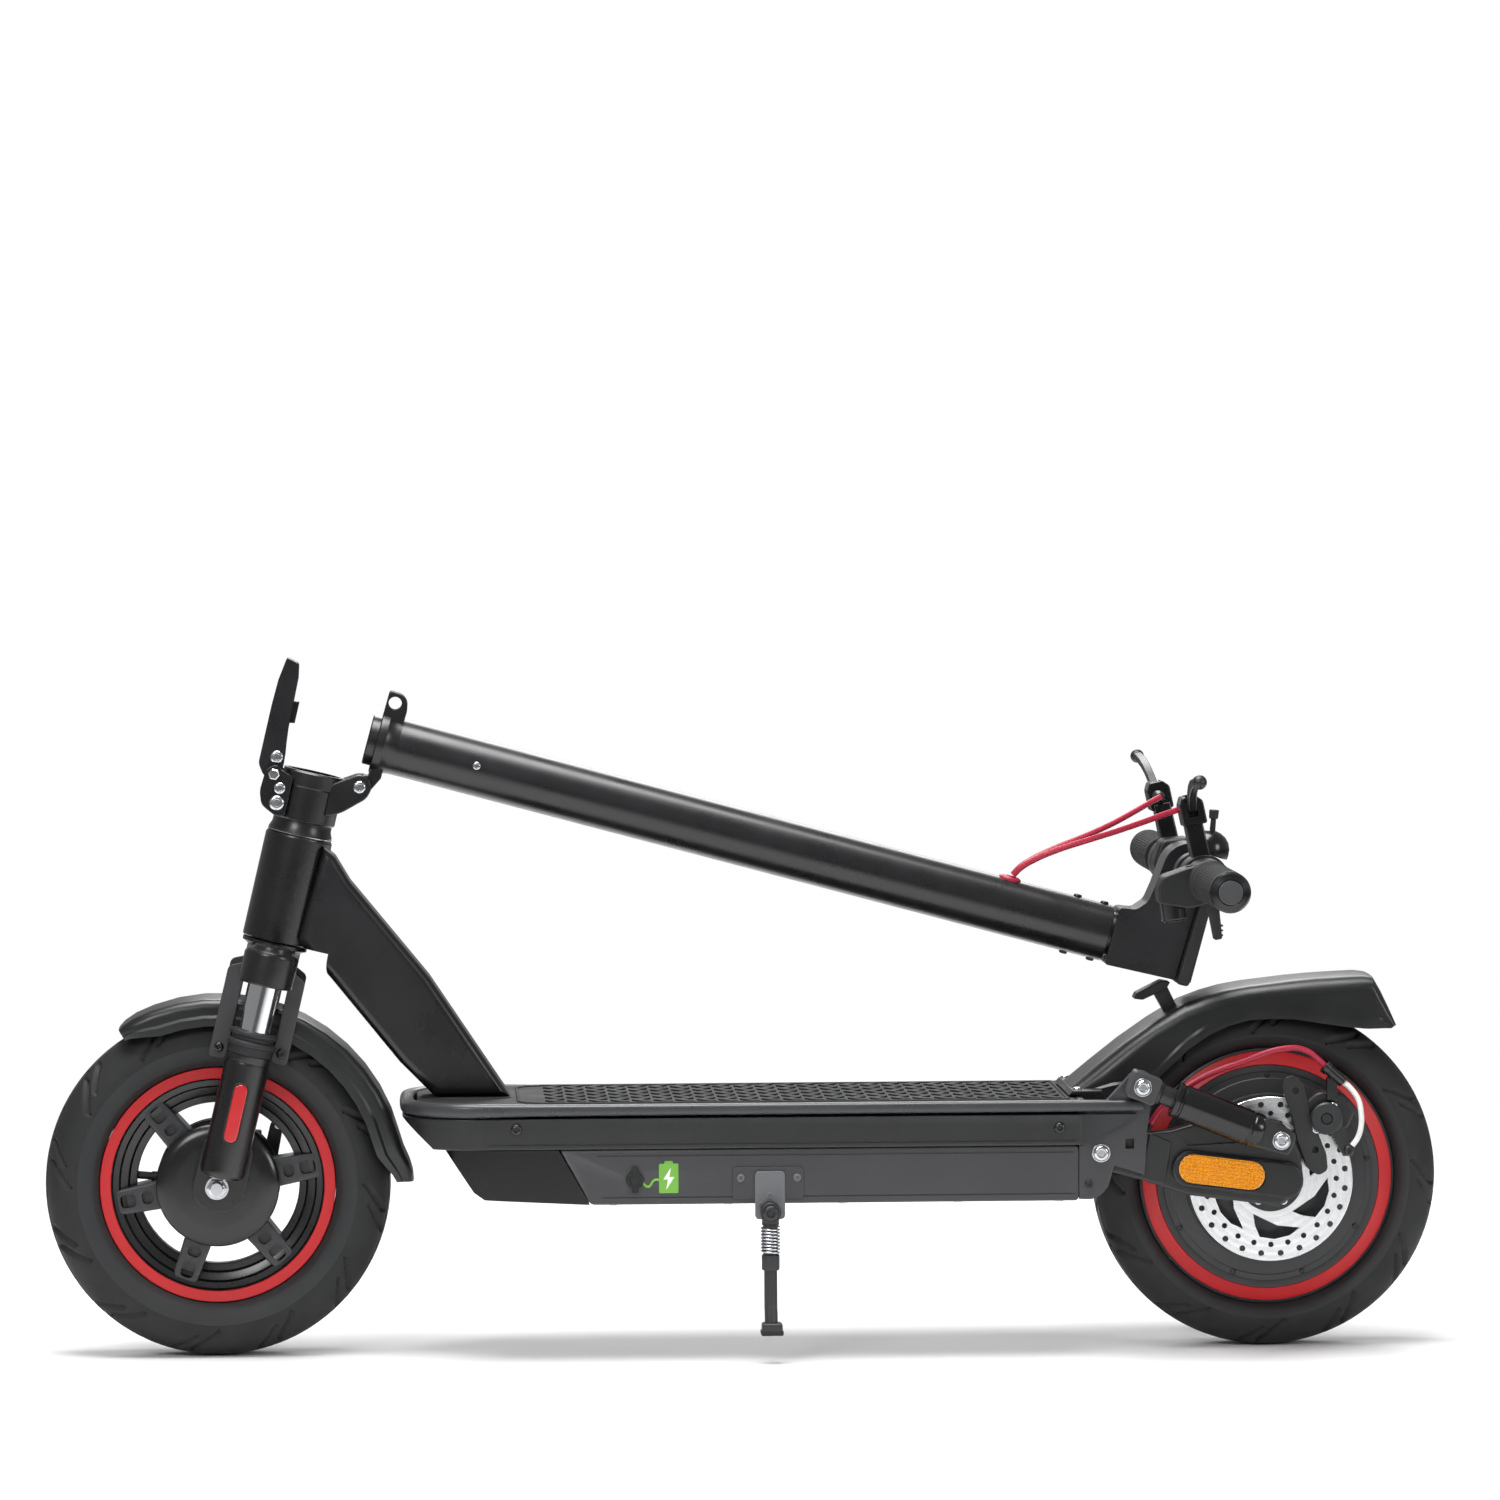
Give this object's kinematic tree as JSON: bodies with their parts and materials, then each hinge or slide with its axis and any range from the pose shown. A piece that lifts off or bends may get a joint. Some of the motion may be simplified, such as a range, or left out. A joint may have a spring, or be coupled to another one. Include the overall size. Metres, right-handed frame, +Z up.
{
  "type": "folding electric kick scooter",
  "caption": "Folding electric kick scooter stored folded: suspended wheels, hinged stem laid over a flat deck, disc and drum brakes, kickstand down.",
  "frame": {"origin": "on the ground, midway between the front and rear wheel centres, in the centre plane", "axes": "+Z up, -X the way it travels, -Y the rider's left"},
  "size_m": [1.052, 0.59, 0.5259],
  "materials": {
    "black_paint": "satin black paint",
    "dark_casting": "satin dark grey-black coating",
    "grey_paint": "satin grey coating",
    "black_plastic": "fine-textured black moulding",
    "cell_wrap": "shrink-wrapped pack",
    "black_rubber": "matte",
    "grip_rubber": "knurled matte",
    "tyre_rubber": "moulded tread",
    "polished_steel": "polished",
    "brushed_disc": "ground",
    "display_glass": "glossy black",
    "cable_red": "crimson outer casing",
    "motor_shell": "black coated casting"
  },
  "bodies": {
    "frame": {"head_tube": "black_paint", "down_tube": "black_paint", "deck_frame": "dark_casting", "deck_base": "grey_paint", "deck_nose": "black_plastic", "deck_trim": "grey_paint", "deck_mat": "black_rubber", "battery_pack": "cell_wrap", "rear_plate_left": "grey_paint", "rear_plate_right": "grey_paint", "rear_mudguard": "black_plastic", "kickstand_bracket": "dark_casting"},
    "steerer": {"fork_crown": "black_paint", "stanchion_left": "polished_steel", "stanchion_right": "polished_steel", "front_mudguard": "black_plastic", "fold_base": "black_paint", "fold_pin": "polished_steel"},
    "fork_lower": {"fork_leg_left": "black_paint", "fork_leg_right": "black_paint", "front_axle": "polished_steel", "drum_plate": "dark_casting"},
    "front_wheel": {"front_tyre": "tyre_rubber", "front_casting": "dark_casting", "front_hub_cover": "dark_casting"},
    "drum_arm": {"front_brake_arm": "dark_casting"},
    "stem": {"stem_flange": "dark_casting", "stem_tube": "black_paint", "handlebar_head": "black_paint", "display": "display_glass", "handlebar": "black_paint", "grip_left": "grip_rubber", "grip_right": "grip_rubber", "lever_mount_left": "black_plastic", "lever_mount_right": "black_plastic", "stem_cable_left": "cable_red", "stem_cable_right": "cable_red", "throttle_body": "black_plastic"},
    "latch": {"latch_lever": "black_paint"},
    "left_lever": {"brake_lever_left": "black_paint"},
    "right_lever": {"brake_lever_right": "black_paint"},
    "paddle": {"throttle_paddle": "black_plastic"},
    "swingarm": {"swingarm": "dark_casting", "rear_axle": "polished_steel", "brake_caliper": "dark_casting", "reflector_left": "black_plastic", "reflector_right": "black_plastic", "rear_cable": "cable_red"},
    "rear_wheel": {"rear_tyre": "tyre_rubber", "rear_motor": "motor_shell", "brake_disc": "brushed_disc"},
    "disc_arm": {"caliper_arm": "dark_casting"},
    "shock_rods": {"shock_rod_left": "grey_paint", "shock_rod_right": "grey_paint"},
    "shock_bodies": {"shock_body_left": "dark_casting", "shock_body_right": "dark_casting"},
    "kickstand": {"kickstand_leg": "dark_casting"},
    "cap": {"port_cap": "black_rubber"}
  },
  "joints": [
    {"name": "steering", "type": "hinge", "parent": "frame", "child": "steerer", "pos_m": [-0.34198, 0, 0.35392], "axis": [0.2283, 0, 0.9736], "range_deg": [-35, 35]},
    {"name": "fork_travel", "type": "slide", "parent": "steerer", "child": "fork_lower", "axis": [0.2283, 0, 0.9736], "range_m": [0, 0.007], "stiffness_N_per_m": 8000, "springref_m": -0.025},
    {"name": "front_spin", "type": "hinge", "parent": "fork_lower", "child": "front_wheel", "pos_m": [-0.396, 0, 0.13], "axis": [0, 1, 0], "continuous": true},
    {"name": "drum_arm_pull", "type": "hinge", "parent": "fork_lower", "child": "drum_arm", "pos_m": [-0.362, 0.034, 0.134], "axis": [0, 1, 0], "range_deg": [0, 15], "stiffness_Nm_per_rad": 0.6, "springref_deg": -8.59},
    {"name": "stem_fold", "type": "hinge", "parent": "steerer", "child": "stem", "pos_m": [-0.28752, 0, 0.42846], "axis": [0, -1, 0], "range_deg": [0, 91.94]},
    {"name": "latch_swing", "type": "hinge", "parent": "steerer", "child": "latch", "pos_m": [-0.35154, 0, 0.43885], "axis": [0, -1, 0], "range_deg": [0, 100]},
    {"name": "left_brake", "type": "hinge", "parent": "stem", "child": "left_lever", "pos_m": [0.32896, -0.124, 0.41305], "axis": [0.9781, 0, 0.2079], "range_deg": [0, 16], "stiffness_Nm_per_rad": 1.2, "springref_deg": -11.46},
    {"name": "right_brake", "type": "hinge", "parent": "stem", "child": "right_lever", "pos_m": [0.32896, 0.124, 0.41305], "axis": [-0.9781, 0, -0.2079], "range_deg": [0, 16], "stiffness_Nm_per_rad": 1.2, "springref_deg": -11.46},
    {"name": "throttle", "type": "hinge", "parent": "stem", "child": "paddle", "pos_m": [0.339, -0.145, 0.361], "axis": [0, 1, 0], "range_deg": [0, 25], "stiffness_Nm_per_rad": 0.2, "springref_deg": -11.46},
    {"name": "rear_swing", "type": "hinge", "parent": "frame", "child": "swingarm", "pos_m": [0.2648, 0, 0.154], "axis": [0, -1, 0], "range_deg": [0, 4.45], "stiffness_Nm_per_rad": 420, "springref_deg": -4.58},
    {"name": "rear_spin", "type": "hinge", "parent": "swingarm", "child": "rear_wheel", "pos_m": [0.396, 0, 0.13], "axis": [0, 1, 0], "continuous": true},
    {"name": "disc_arm_pull", "type": "hinge", "parent": "swingarm", "child": "disc_arm", "pos_m": [0.4355, -0.0734, 0.1774], "axis": [0, -1, 0], "range_deg": [0, 15], "stiffness_Nm_per_rad": 0.6, "springref_deg": -8.59},
    {"name": "shock_turn", "type": "hinge", "parent": "frame", "child": "shock_rods", "pos_m": [0.2941, 0, 0.2047], "axis": [0, -1, 0], "range_deg": [0, 4.85]},
    {"name": "shock_travel", "type": "slide", "parent": "shock_rods", "child": "shock_bodies", "axis": [0.9306, 0, -0.366], "range_m": [-0.0046, 0]},
    {"name": "kickstand_fold", "type": "hinge", "parent": "frame", "child": "kickstand", "pos_m": [0.0165, -0.0963, 0.113], "axis": [0, -1, 0], "range_deg": [0, 90]},
    {"name": "cap_open", "type": "hinge", "parent": "frame", "child": "cap", "pos_m": [-0.084, -0.0882, 0.1462], "axis": [-1, 0, 0], "range_deg": [0, 100]}
  ],
  "couplings": [
    {"joint": "shock_turn", "follows": "rear_swing", "ratio": 1.078},
    {"joint": "shock_travel", "follows": "rear_swing", "m_per_rad": -0.0579}
  ]
}
